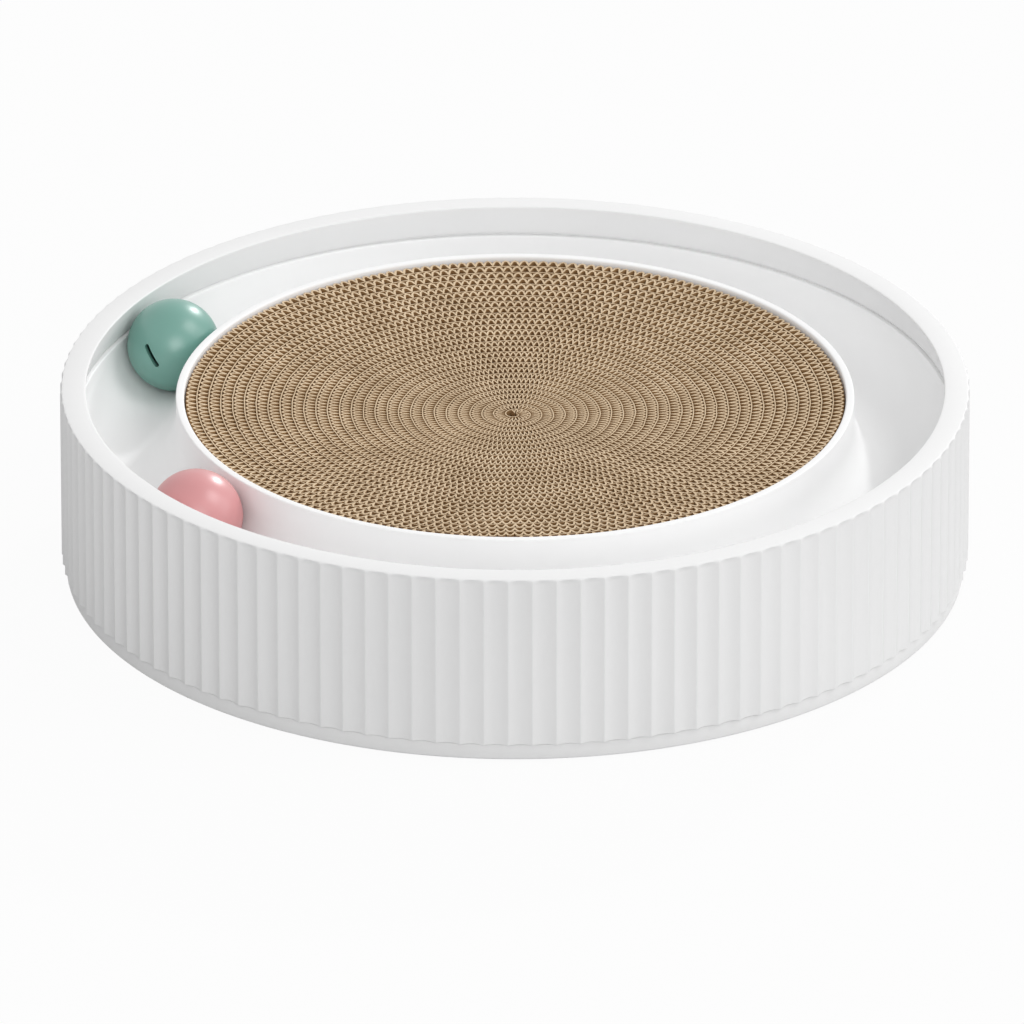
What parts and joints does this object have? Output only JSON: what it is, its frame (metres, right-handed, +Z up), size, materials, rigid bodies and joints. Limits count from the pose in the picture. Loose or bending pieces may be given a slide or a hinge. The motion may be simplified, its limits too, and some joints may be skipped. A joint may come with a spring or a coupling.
{
  "type": "cat scratcher bed",
  "caption": "Round cat bed with a fluted white wall, a wound corrugated cardboard scratching pad in the middle and balls that roll in a track round it.",
  "frame": {"origin": "on the floor, at the middle of the drum", "axes": "+Z up along the drum's axis, -Y towards the front as pictured, +X to its right"},
  "size_m": [0.39, 0.39, 0.0888],
  "materials": {
    "white_plastic": "satin",
    "corrugated_board": "raw",
    "green_plastic": "satin gloss",
    "pink_plastic": "satin gloss",
    "plated_steel": "plated",
    "grey_rubber": "matte"
  },
  "bodies": {
    "bed": {"outer_ring": "white_plastic", "track_tray": "white_plastic", "base_pan": "white_plastic", "foot_1": "grey_rubber", "foot_2": "grey_rubber", "foot_3": "grey_rubber", "foot_4": "grey_rubber", "foot_5": "grey_rubber", "foot_6": "grey_rubber", "base_screw_1": "plated_steel", "base_screw_2": "plated_steel", "base_screw_3": "plated_steel", "base_screw_4": "plated_steel", "base_screw_5": "plated_steel", "base_screw_6": "plated_steel"},
    "pad": {"scratch_coil": "corrugated_board"},
    "green_bell": {"green_bell": "plated_steel"},
    "green_ball": {"green_ball_slotted_half": "green_plastic", "green_ball_plain_half": "green_plastic"},
    "pink_bell": {"pink_bell": "plated_steel"},
    "pink_ball": {"pink_ball_slotted_half": "pink_plastic", "pink_ball_plain_half": "pink_plastic"}
  },
  "joints": [
    {"name": "pad_lift", "type": "slide", "parent": "bed", "child": "pad", "axis": [0, 0, 1], "range_m": [0, 0.06]},
    {"name": "green_ball_orbit", "type": "hinge", "parent": "bed", "child": "green_bell", "pos_m": [0, 0, 0.069], "axis": [0, 0, 1], "range_deg": [-283, 48.5]},
    {"name": "green_ball_roll", "type": "hinge", "parent": "green_bell", "child": "green_ball", "pos_m": [-0.14767, 0.07605, 0.069], "axis": [-0.889, 0.4579, 0], "continuous": true},
    {"name": "pink_ball_orbit", "type": "hinge", "parent": "bed", "child": "pink_bell", "pos_m": [0, 0, 0.069], "axis": [0, 0, 1], "range_deg": [-48.5, 283]},
    {"name": "pink_ball_roll", "type": "hinge", "parent": "pink_bell", "child": "pink_ball", "pos_m": [-0.13531, -0.09634, 0.069], "axis": [-0.8146, -0.58, 0], "continuous": true}
  ],
  "couplings": [
    {"joint": "green_ball_roll", "follows": "green_ball_orbit", "ratio": -8.305},
    {"joint": "pink_ball_roll", "follows": "pink_ball_orbit", "ratio": -8.305}
  ]
}
